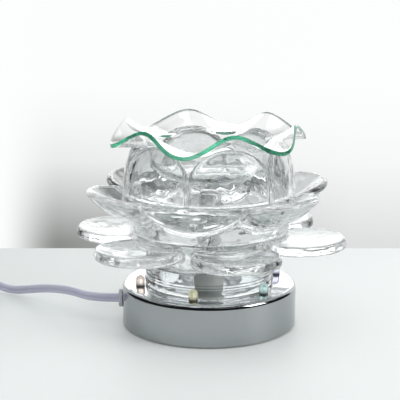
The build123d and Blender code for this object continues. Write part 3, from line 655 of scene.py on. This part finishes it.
def peg(radius, centre, length, rotation=(0, 0, 0)):
    """A plain cylinder to cut with, in millimetres."""
    bpy.ops.object.select_all(action="DESELECT")
    bpy.ops.mesh.primitive_cylinder_add(vertices=48, radius=radius * MM, depth=length * MM, rotation=rotation,
                                        location=[v * MM for v in centre])
    return bpy.context.object


led_places = [radians(led_angle + 360 / led_count * k) for k in range(led_count)]
holes = [peg(led_radius + hole_slack, (led_circle * cos(a), led_circle * sin(a), base_top), top_cut)
         for a in led_places]
holes.append(peg(wire_hole_radius, (0, 0, base_top), top_cut))
holes.append(peg(cord_hole_radius, (-base_radius, 0, cord_level), side_cut, (0, pi / 2, 0)))
print("holes in the drum:", len(holes))
drill(drum, holes)
make_active(drum)
bpy.ops.object.shade_smooth_by_angle(angle=radians(25))

# %% [markdown]
# Chromium is a grey mirror. Plating on a drawn shell is very smooth, with faint haze where fingers and
# cloths have been. Noise of about 30 mm drives the roughness between 0.03 and 0.09, and a shallow bump
# bends the reflections the way a pressed sheet does.

# %% Chrome plate
haze_size = 30
sheet_size, sheet_depth = 18, 0.05
chrome, tree, shader = new_material("chrome plate", Metallic=1.0, Base_Color=linear("#BABDBF"))
coords = add_node(tree, "ShaderNodeTexCoord").outputs["Object"]
haze = add_node(tree, "ShaderNodeTexNoise", {
    "Vector": coords, "Scale": 1 / (haze_size * MM), "Detail": 4.0})
polish = add_node(tree, "ShaderNodeMapRange", {
    "Value": haze.outputs["Fac"], "From Min": 0.35, "From Max": 0.7, "To Min": 0.03, "To Max": 0.09})
tree.links.new(polish.outputs["Result"], shader.inputs["Roughness"])
sheet = add_node(tree, "ShaderNodeTexNoise", {
    "Vector": coords, "Scale": 1 / (sheet_size * MM), "Detail": 1.0})
dent = add_node(tree, "ShaderNodeBump", {
    "Height": sheet.outputs["Fac"], "Distance": sheet_depth * MM, "Strength": 0.5})
tree.links.new(dent.outputs["Normal"], shader.inputs["Normal"])
dress(drum, chrome, "base_shell")

# %% [markdown]
# ## Grommet
# A soft PVC grommet holds the flex in the drum's wall. Its flange is a thick disc with a rounded face. It
# is round, so it is turned on the Z axis and laid over to point along the flex. Its slot is cut with a
# cylinder whose two halves are drawn apart to the flat shape of the flex, with a little play.

# %% Grommet
grommet_low, grommet_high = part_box("cord_grommet")
face_x, back_x = grommet_low.x / MM, grommet_high.x / MM
flange_radius, waist_radius = 5.2, 4.1
flange_depth, inner_depth = 2.2, 1.3
flange_round = 0.8
grommet_steps, flange_steps = 64, 5
slot_slack, slot_length = 0.15, 20
outer_back = face_x + flange_depth
inner_front = back_x - inner_depth
round_centre = (flange_radius - flange_round, face_x + flange_round)
grommet_outline = [(0, face_x), *arc(round_centre, flange_round, -90, 0, flange_steps)]
grommet_outline += [(flange_radius, outer_back), (waist_radius, outer_back), (waist_radius, inner_front),
                    (flange_radius, inner_front), (flange_radius, back_x), (0, back_x)]
grommet = spun("grommet", grommet_outline, grommet_steps)
place(grommet, (0, 0, cord_level), (0, pi / 2, 0))

bpy.ops.object.select_all(action="DESELECT")
bpy.ops.mesh.primitive_cylinder_add(vertices=32, radius=(flex_thickness / 2 + slot_slack) * MM,
                                    depth=slot_length * MM)
slot_cut = bpy.context.object
for vertex in slot_cut.data.vertices:
    vertex.co.x += (1 if vertex.co.x > 0 else -1) * (flex_width - flex_thickness) / 2 * MM
place(slot_cut, ((face_x + back_x) / 2, 0, cord_level), (0, pi / 2, 0))
drill(grommet, [slot_cut])
make_active(grommet)
bpy.ops.object.shade_smooth_by_angle(angle=radians(35))
print("grommet in mm:", round(back_x - face_x, 1), "long,", 2 * flange_radius, "across")

# %% [markdown]
# ## Plastics and rubbers
# Flex and grommet are soft PVC: slightly translucent, with a satin skin from the extruder or the mould. The
# rest is moulded or rolled stock. They differ in numbers alone, so one loop makes them all from a table: a
# broad noise varies the colour by a few percent, and a fine one gives the skin its relief. The real grain
# is finer than the picture can show, so it is drawn coarser.

# %% Plastics and rubbers
# Each row: colour, roughness, and the size of the grain and the depth of its relief in millimetres.
skins = {
    "soft PVC flex": ("#D9D7EA", 0.38, 0.5, 0.02),  # extruded: a satin shine along its length
    "soft PVC grommet": ("#D2D3DA", 0.42, 0.6, 0.03),  # moulded: duller than the flex
    "moulded black polystyrene": ("#1E1E20", 0.45, 0.5, 0.04),  # a fine spark-eroded grain
    "foot rubber": ("#26262A", 0.8, 0.4, 0.06),  # dry and matt
    "natural nylon": ("#E6E1D2", 0.5, 0.8, 0.03),  # creamy and waxy
    "wire PVC": ("#E9E6DE", 0.45, 0.4, 0.02),  # smooth from the die
    "solder mask laminate": ("#2C6B45", 0.4, 0.9, 0.03),  # a thin green lacquer over a weave
    "film capacitor lacquer": ("#A8402F", 0.3, 0.7, 0.04),  # dipped: glossy and uneven
    "black epoxy": ("#232325", 0.55, 0.3, 0.03),  # moulded: dull and even
    "white porcelain": ("#EFEFED", 0.35, 1.2, 0.05),  # fired: a soft, uneven gloss
    "white ABS": ("#ECEBE6", 0.42, 0.5, 0.03),  # a soft sheen over a fine grain
    "grey ABS": ("#8C8F93", 0.5, 0.4, 0.03),  # duller, for grip
    "plug PVC": ("#E2E1E8", 0.45, 0.5, 0.03),  # moulded over the flex, satin
    "white polyethylene tie": ("#F2F1EC", 0.35, 0.6, 0.02),  # rolled: a greasy shine
}
cloud_size = 20
cloud_dark, cloud_light = 0.92, 1.05
plastics = {}
for name, (colour, roughness, grain, relief) in skins.items():
    material, tree, shader = new_material(name, Roughness=roughness)
    coords = add_node(tree, "ShaderNodeTexCoord").outputs["Object"]
    skin = add_node(tree, "ShaderNodeTexNoise", {
        "Vector": coords, "Scale": 1 / (grain * MM), "Detail": 3.0})
    cloud = add_node(tree, "ShaderNodeTexNoise", {
        "Vector": coords, "Scale": 1 / (cloud_size * MM), "Detail": 2.0})
    tone = add_node(tree, "ShaderNodeValToRGB", {"Fac": cloud.outputs["Fac"]})
    base = linear(colour)
    tone.color_ramp.elements[0].color = [cloud_dark * c for c in base[:3]] + [1]
    tone.color_ramp.elements[1].color = [min(cloud_light * c, 1) for c in base[:3]] + [1]
    tree.links.new(tone.outputs["Color"], shader.inputs["Base Color"])
    bump = add_node(tree, "ShaderNodeBump", {
        "Height": skin.outputs["Fac"], "Distance": relief * MM, "Strength": 0.6})
    tree.links.new(bump.outputs["Normal"], shader.inputs["Normal"])
    plastics[name] = material
print("plastics and rubbers:", len(plastics))

# %% [markdown]
# Light goes a little way into soft PVC before it comes out again, which softens shadows on the flex. The
# shader's subsurface part does that, over about a millimetre. Both pieces of PVC can now be dressed.

# %% Soft PVC
glow_depth = 1
for name in ("soft PVC flex", "soft PVC grommet"):
    soft = plastics[name].node_tree.nodes["Principled BSDF"]
    soft.inputs["Subsurface Weight"].default_value = 0.25
    soft.inputs["Subsurface Radius"].default_value = (1.2, 1.1, 1.3)
    soft.inputs["Subsurface Scale"].default_value = glow_depth * MM

dress(grommet, plastics["soft PVC grommet"], "cord_grommet")
dress(lead, plastics["soft PVC flex"], "cord_lead")
dress(coil, plastics["soft PVC flex"], "cord_coil")
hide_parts("cord_link", "cord_tail")

# %% [markdown]
# ## Metals
# Screws are zinc plated, the plug's blades are brass, the pins are tinned and the filament is tungsten.
# They share one loop: a metal with a fine wear noise in its roughness, so that its highlights break up as
# on handled hardware.

# %% Metals
# Each row: colour and roughness.
metal_looks = {
    "zinc plated steel": ("#B9BCBE", 0.28),  # a cool grey shine
    "blade brass": ("#C9A24B", 0.25),  # yellow, rubbed bright
    "tinned copper": ("#C4C4C2", 0.3),  # a soft white metal
    "tungsten": ("#8A8680", 0.4),  # dark grey wire
}
wear_size = 1.5
wear_low, wear_high = 0.1, 0.12
metals = {}
for name, (colour, roughness) in metal_looks.items():
    material, tree, shader = new_material(name, Metallic=1.0, Base_Color=linear(colour))
    coords = add_node(tree, "ShaderNodeTexCoord").outputs["Object"]
    wear = add_node(tree, "ShaderNodeTexNoise", {
        "Vector": coords, "Scale": 1 / (wear_size * MM), "Detail": 3.0})
    worn = add_node(tree, "ShaderNodeMapRange", {
        "Value": wear.outputs["Fac"], "To Min": roughness - wear_low, "To Max": roughness + wear_high})
    tree.links.new(worn.outputs["Result"], shader.inputs["Roughness"])
    metals[name] = material
print("metals:", ", ".join(metals))

# %% [markdown]
# ## Finishes of plain pieces
# Screws, boards, the dimmer and the plug keep the meshes of their solids, because their plain shapes are
# already right. Each gets the material that it is made of.

# %% Finishes of plain pieces
finishes = {
    "moulded black polystyrene": ("bottom_cover",),
    "foot rubber": ("foot_pads",),
    "natural nylon": ("terminal_block", "board_spacers"),
    "wire PVC": ("lamp_wires", "board_wires"),
    "soft PVC flex": ("cord_inside",),
    "solder mask laminate": ("led_board", "dimmer_board"),
    "film capacitor lacquer": ("board_capacitor",),
    "black epoxy": ("board_rectifier", "dimmer_triac"),
    "white porcelain": ("lamp_holder",),
    "white ABS": ("dimmer_base", "dimmer_cover"),
    "grey ABS": ("dimmer_wheel",),
    "plug PVC": ("plug_body",),
    "white polyethylene tie": ("cord_tie",),
    "zinc plated steel": ("cover_posts", "cover_screws", "holder_screws", "holder_nuts", "dimmer_pivot",
                          "dimmer_screws"),
    "blade brass": ("plug_blades",),
    "tinned copper": ("led_leads", "bulb_pins"),
    "tungsten": ("bulb_filament",),
}
stock = {**plastics, **metals}
for name, nodes in finishes.items():
    for node in nodes:
        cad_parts[node].data.materials.clear()
        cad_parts[node].data.materials.append(stock[name])
print("plain pieces:", sum(len(nodes) for nodes in finishes.values()))

# %% [markdown]
# ## Halogen capsule
# The capsule is a quartz tube with a round end, squeezed flat at its foot round the pins. It could be
# squeezed from the tube itself, but two plain shapes keep its walls even: the tube is turned and hollowed,
# and the flat foot is a bevelled cube that is united with it.

# %% Halogen capsule
capsule_low, capsule_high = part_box("bulb_glass")
pinch_foot, capsule_top = capsule_low.z / MM, capsule_high.z / MM
capsule_radius, capsule_wall = 6.75, 0.8
capsule_steps, dome_steps = 64, 16
pinch_size = (3.6, 12.5, 12.0)
pinch_bevel = 0.5
pinch_top = pinch_foot + pinch_size[2]
dome = (0, capsule_top - capsule_radius)


def tube(name, radius, foot):
    """A closed tube with a round end, turned from its foot."""
    return spun(name, [(0, foot), (radius, foot), *arc(dome, radius, 0, 90, dome_steps)], capsule_steps)


capsule = tube("halogen_capsule", capsule_radius, pinch_top)
drill(capsule, [tube("hollow", capsule_radius - capsule_wall, pinch_top + 2 * capsule_wall)])
bpy.ops.object.select_all(action="DESELECT")
bpy.ops.mesh.primitive_cube_add(size=1.0)
pinch = bpy.context.object
pinch.scale = [v * MM for v in pinch_size]
pinch.location = (0, 0, (pinch_foot + pinch_top) / 2 * MM)
bpy.ops.object.transform_apply(location=True, rotation=True, scale=True)
apply_modifier(pinch, "BEVEL", width=pinch_bevel * MM, segments=3)
apply_modifier(capsule, "BOOLEAN", operation="UNION", object=pinch, solver="EXACT")
bpy.data.objects.remove(pinch)
make_active(capsule)
bpy.ops.object.shade_smooth_by_angle(angle=radians(35))
print("capsule in mm:", round(capsule_top - pinch_foot, 1), "high")

# %% [markdown]
# Fused quartz is clear like glass, with the lower index of 1.46. Its tube was drawn hot, which leaves faint
# waves in its skin. A noise bump of 6 mm gives them.

# %% Fused quartz
drawn_size, drawn_depth = 6, 0.05
quartz, tree, shader = new_material("fused quartz", Transmission_Weight=1.0, IOR=1.46, Roughness=0.0)
coords = add_node(tree, "ShaderNodeTexCoord").outputs["Object"]
drawn = add_node(tree, "ShaderNodeTexNoise", {
    "Vector": coords, "Scale": 1 / (drawn_size * MM), "Detail": 1.0})
wave_bump = add_node(tree, "ShaderNodeBump", {
    "Height": drawn.outputs["Fac"], "Distance": drawn_depth * MM, "Strength": 0.5})
tree.links.new(wave_bump.outputs["Normal"], shader.inputs["Normal"])
pass_light(tree, shader, "#F2F3F3")
dress(capsule, quartz, "bulb_glass")

# %% [markdown]
# ## Small lamps
# Each lamp is a 5 mm light-emitting diode: an epoxy bullet with a flange that rests under the plate. All
# six are alike, so one is turned and copied.

# %% Bullet of a lamp
led_rise = 6.6
led_foot, plate_under = 22.5, 23.5
led_flange_radius = 2.9
bullet_bevel = 0.12
bullet_steps, tip_steps = 40, 10
dome_centre = base_top + led_rise - led_radius
bullet_outline = [(0, led_foot), (led_flange_radius, led_foot), (led_flange_radius, plate_under),
                  (led_radius, plate_under), *arc((0, dome_centre), led_radius, 0, 90, tip_steps)]
bullet = spun("bullet", bullet_outline, bullet_steps)
apply_modifier(bullet, "BEVEL", width=bullet_bevel * MM, segments=2, limit_method="ANGLE",
               angle_limit=radians(50))
bpy.ops.object.shade_smooth_by_angle(angle=radians(45))
print("lamp stands", led_rise, "mm over the plate")

# %% [markdown]
# The epoxy is milky, so a lamp looks pale by day with only a tint of its colour. The lamps are off, so
# the faint emission in that tint is a painted glow that brightens them. At the foot a dark band stands
# partly for the lead frame that shows through and partly for painted shade where the lamp meets its hole.
# Height in Object coordinates sets where that band ends. Casting leaves a faint flow in the skin, drawn at
# 1.5 mm.

# %% Small lamps
led_colours = {"led_blue": "#ECEAFC", "led_orange": "#FAECDD", "led_violet": "#F2E8FA",
               "led_red": "#FBEDE4", "led_yellow": "#F7F5D6", "led_green": "#DCF6F4"}
# The dark band at the foot: partly the lead frame, partly painted shade where the lamp meets the plate.
band_top = base_top + 1.1
band_below, band_above = 0.4, 0.6
band_shade = 0.12
flow_size, flow_depth = 1.5, 0.04
for (node, colour), angle in zip(led_colours.items(), led_places):
    tint_name = node.removeprefix("led_")
    # The emission is a painted glow, because the lamps are off.
    epoxy, tree, shader = new_material("milky epoxy " + tint_name, Transmission_Weight=0.8, IOR=1.53,
                                       Roughness=0.03, Emission_Strength=0.15)
    coords = add_node(tree, "ShaderNodeTexCoord").outputs["Object"]
    level = add_node(tree, "ShaderNodeSeparateXYZ", {"Vector": coords}).outputs["Z"]
    band = add_node(tree, "ShaderNodeMapRange", {
        "Value": level, "From Min": (band_top - band_below) * MM, "From Max": (band_top + band_above) * MM})
    tint = add_node(tree, "ShaderNodeValToRGB", {"Fac": band.outputs["Result"]})
    tint.color_ramp.elements[0].color = [band_shade * c for c in linear(colour)[:3]] + [1]
    tint.color_ramp.elements[1].color = linear(colour)
    tree.links.new(tint.outputs["Color"], shader.inputs["Base Color"])
    tree.links.new(tint.outputs["Color"], shader.inputs["Emission Color"])
    cast = add_node(tree, "ShaderNodeTexNoise", {
        "Vector": coords, "Scale": 1 / (flow_size * MM), "Detail": 1.0})
    flow = add_node(tree, "ShaderNodeBump", {
        "Height": cast.outputs["Fac"], "Distance": flow_depth * MM, "Strength": 0.5})
    tree.links.new(flow.outputs["Normal"], shader.inputs["Normal"])
    lens = copy_of(bullet, "lamp_" + tint_name)
    place(lens, (led_circle * cos(angle), led_circle * sin(angle), 0))
    dress(lens, epoxy, node)
bpy.data.objects.remove(bullet)

# %% [markdown]
# ## Table
# The warmer stands on a pale lacquered table that ends a hand's breadth behind it. A plane is enough,
# because its edge is seen only as a line. Its colour darkens toward the far left corner as painted shade,
# and it gives off a trace of light to the camera alone, which keeps its pale tone next to the bright glass.

# %% Table
table_rear = 163.0
table_width, table_depth = 4.0, 2.0
bpy.ops.object.select_all(action="DESELECT")
bpy.ops.mesh.primitive_plane_add(size=1.0)
table = bpy.context.object
table.name = "table"
table.scale = (table_width, table_depth, 1.0)
table.location = (0, table_rear * MM - table_depth / 2, 0)
bpy.ops.object.transform_apply(location=True, rotation=True, scale=True)

lacquer, tree, shader = new_material("white lacquered board", Roughness=0.5, Specular_IOR_Level=0.25)
coords = add_node(tree, "ShaderNodeTexCoord").outputs["Object"]
axes = add_node(tree, "ShaderNodeSeparateXYZ", {"Vector": coords})
# Painted shade: the board's colour darkens toward its far left corner.
corner = add_node(tree, "ShaderNodeMath", {0: axes.outputs["Y"], 1: axes.outputs["X"]}, operation="SUBTRACT")
near = add_node(tree, "ShaderNodeMapRange", {
    "Value": corner.outputs["Value"], "From Min": 0.45, "From Max": 0.0})
tone = add_node(tree, "ShaderNodeValToRGB", {"Fac": near.outputs["Result"]})
tone.color_ramp.elements[0].color = linear("#CDD1CF")
tone.color_ramp.elements[1].color = linear("#EDF1EF")
tree.links.new(tone.outputs["Color"], shader.inputs["Base Color"])
rays = add_node(tree, "ShaderNodeLightPath")
glow = add_node(tree, "ShaderNodeMapRange", {"Value": rays.outputs["Is Camera Ray"], "To Max": 0.1})
tree.links.new(glow.outputs["Result"], shader.inputs["Emission Strength"])
table.data.materials.append(lacquer)
print("table ends", table_rear, "mm behind the axis")

# %% [markdown]
# ## Room
# Behind the table the room rises from grey to white, and that gradient is what draws clear glass. A painted
# plane could stand there, but the world's background has no edges, so the room is painted there by
# direction. The wall is a ramp over height. It is brighter toward the right, and at the left end of the
# picture it fades to white for the camera alone.

# %% Wall
white_wall = linear("#FDFEFE")
wall_tones = ((0.13, "#8F918F"), (0.35, "#C4C6C5"), (0.58, "#EAECEB"), (0.8, "#F6F7F7"))
world = bpy.data.worlds.new("studio room")
bpy.context.scene.world = world
world.use_nodes = True
tree = world.node_tree
way = add_node(tree, "ShaderNodeTexCoord").outputs["Generated"]
axes = add_node(tree, "ShaderNodeSeparateXYZ", {"Vector": way})
rays = add_node(tree, "ShaderNodeLightPath")
height = add_node(tree, "ShaderNodeMapRange", {
    "Value": axes.outputs["Z"], "From Min": -0.27, "From Max": -0.13})
wall = add_node(tree, "ShaderNodeValToRGB", {"Fac": height.outputs["Result"]})
for spot, tone in wall_tones:
    wall.color_ramp.elements.new(spot).color = linear(tone)
wall.color_ramp.elements[0].color = linear("#848785")
wall.color_ramp.elements[-1].color = linear("#FCFDFD")
side = add_node(tree, "ShaderNodeMapRange", {
    "Value": axes.outputs["X"], "From Min": -0.115, "From Max": 0.12, "To Max": 0.66})
lit_wall = add_node(tree, "ShaderNodeMix", {
    "Factor": side.outputs["Result"], "A": wall.outputs["Color"], "B": white_wall}, data_type="RGBA")
fade = add_node(tree, "ShaderNodeMapRange", {
    "Value": axes.outputs["X"], "From Min": -0.115, "From Max": -0.165}, interpolation_type="SMOOTHSTEP")
fade = add_node(tree, "ShaderNodeMath", {
    0: fade.outputs["Result"], 1: rays.outputs["Is Camera Ray"]}, operation="MULTIPLY")
lit_wall = add_node(tree, "ShaderNodeMix", {
    "Factor": fade.outputs["Value"], "A": lit_wall.outputs["Result"], "B": white_wall}, data_type="RGBA")
print("tones on the wall:", len(wall.color_ramp.elements))

# %% [markdown]
# Clear glass and chrome show only what stands round them. In a studio, black cards beside the object and in
# front of it draw the dark lines on their rims. Here the cards are dark parts of the room: the front, from
# the table to the ceiling, and a flag on either side. The camera itself does not see them.

# %% Dark front and side flags
front = add_node(tree, "ShaderNodeMapRange", {
    "Value": axes.outputs["Y"], "From Min": -0.02, "From Max": -0.08})
low = add_node(tree, "ShaderNodeMapRange", {"Value": axes.outputs["Z"], "From Min": 0.98, "From Max": 0.94})
above = add_node(tree, "ShaderNodeMapRange", {
    "Value": axes.outputs["Z"], "From Min": -0.15, "From Max": -0.02})
dark = add_node(tree, "ShaderNodeMath", {
    0: front.outputs["Result"], 1: low.outputs["Result"]}, operation="MULTIPLY")
dark = add_node(tree, "ShaderNodeMath", {
    0: dark.outputs["Value"], 1: above.outputs["Result"]}, operation="MULTIPLY")
aside = add_node(tree, "ShaderNodeMath", {0: axes.outputs["X"]}, operation="ABSOLUTE")
flags = add_node(tree, "ShaderNodeMapRange", {
    "Value": aside.outputs["Value"], "From Min": 0.7, "From Max": 0.8})
dark = add_node(tree, "ShaderNodeMath", {
    0: dark.outputs["Value"], 1: flags.outputs["Result"]}, operation="MAXIMUM")
unseen = add_node(tree, "ShaderNodeMath", {0: 1.0, 1: rays.outputs["Is Camera Ray"]}, operation="SUBTRACT")
dark = add_node(tree, "ShaderNodeMath", {
    0: dark.outputs["Value"], 1: unseen.outputs["Value"]}, operation="MULTIPLY")
print("room nodes so far:", len(tree.nodes))

# %% [markdown]
# The left of the room is in half shade and the ceiling is grey, which keeps the chrome from going flat
# white. The room shows to the camera and in reflections and refractions. For all other rays the world is
# one plain even light, so that matt pieces are lit the same from every side.

# %% Ceiling and even light
left = add_node(tree, "ShaderNodeMapRange", {
    "Value": axes.outputs["X"], "From Min": -0.2, "From Max": -0.8, "To Max": 0.85})
dim_wall = add_node(tree, "ShaderNodeMix", {
    "Factor": left.outputs["Result"], "A": lit_wall.outputs["Result"], "B": linear("#B2B6B7")},
    data_type="RGBA")
over = add_node(tree, "ShaderNodeMapRange", {
    "Value": axes.outputs["Z"], "From Min": 0.3, "From Max": 0.8, "To Max": 0.8})
ceiling = add_node(tree, "ShaderNodeMix", {
    "Factor": over.outputs["Result"], "A": dim_wall.outputs["Result"], "B": linear("#C4C7C7")},
    data_type="RGBA")
room = add_node(tree, "ShaderNodeMix", {
    "Factor": dark.outputs["Value"], "A": ceiling.outputs["Result"], "B": linear("#1E1F21")},
    data_type="RGBA")
seen = add_node(tree, "ShaderNodeMath", {
    0: rays.outputs["Is Camera Ray"], 1: rays.outputs["Is Glossy Ray"]}, operation="MAXIMUM")
seen = add_node(tree, "ShaderNodeMath", {
    0: seen.outputs["Value"], 1: rays.outputs["Is Transmission Ray"]}, operation="MAXIMUM")
light = add_node(tree, "ShaderNodeMix", {
    "Factor": seen.outputs["Value"], "A": linear("#B4B6B8"), "B": room.outputs["Result"]},
    data_type="RGBA")
tree.links.new(light.outputs["Result"], tree.nodes["Background"].inputs["Color"])
print("room nodes:", len(tree.nodes))

# %% [markdown]
# ## Lamps
# Three soft lamps add shape: one overhead, one from the right, and one behind. The rear one lights no matt
# surface. It shows only in the chrome and the glass, where it lays a bright band. Light crosses many walls
# of glass here, so rays may bounce 32 times before they are given up.

# %% Lamps
aim = Vector((0, 0, 0.05))
bounces = 32
# Each row: place and size in metres, and power in watts.
softboxes = {
    "overhead softbox": ((-0.1, -0.05, 1.1), (0.9, 0.9), 3.0),
    "side softbox": ((0.9, -0.35, 0.7), (0.5, 0.5), 4.0),
    "rear softbox": ((0, 1.0, 0.45), (1.2, 0.6), 3.2),
}
for name, (spot, size, power) in softboxes.items():
    bpy.ops.object.select_all(action="DESELECT")
    bpy.ops.object.light_add(type="AREA", location=spot)
    lamp = bpy.context.object
    lamp.name = name
    lamp.data.shape = "RECTANGLE"
    lamp.data.size, lamp.data.size_y = size
    lamp.data.energy = power
    lamp.rotation_euler = (aim - Vector(spot)).to_track_quat("-Z", "Y").to_euler()
    lamp.visible_diffuse = name != "rear softbox"
    print(name, power, "W")
bpy.context.scene.cycles.max_bounces = bounces
bpy.context.scene.cycles.transmission_bounces = bounces
bpy.context.scene.cycles.glossy_bounces = bounces
